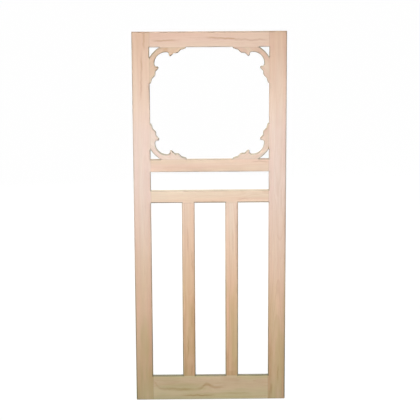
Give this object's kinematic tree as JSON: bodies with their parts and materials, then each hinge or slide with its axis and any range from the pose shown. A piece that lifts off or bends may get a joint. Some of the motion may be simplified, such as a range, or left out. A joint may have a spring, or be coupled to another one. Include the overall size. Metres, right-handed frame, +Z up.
{
  "type": "screen door",
  "caption": "Unfinished pine screen door leaf with sawn scroll brackets around its upper opening, a narrow strip opening below it and tall openings between mullions.",
  "frame": {"origin": "bottom of the hinge edge, at mid thickness", "axes": "+X from the hinge edge to the latch edge, +Y from the front face to the back face, +Z up"},
  "size_m": [0.8128, 0.0286, 2.032],
  "materials": {
    "stile_pine": "bare sanded pine, grain upright",
    "rail_pine": "bare sanded pine, grain level",
    "mullion_pine": "bare sanded pine, grain upright",
    "bracket_pine": "bare sawn and sanded pine"
  },
  "bodies": {
    "root": {"hinge_stile": "stile_pine", "latch_stile": "stile_pine", "top_rail": "rail_pine", "frieze_rail": "rail_pine", "lock_rail": "rail_pine", "bottom_rail": "rail_pine", "left_mullion": "mullion_pine", "right_mullion": "mullion_pine", "top_left_bracket": "bracket_pine", "top_right_bracket": "bracket_pine", "bottom_left_bracket": "bracket_pine", "bottom_right_bracket": "bracket_pine"}
  },
  "joints": []
}
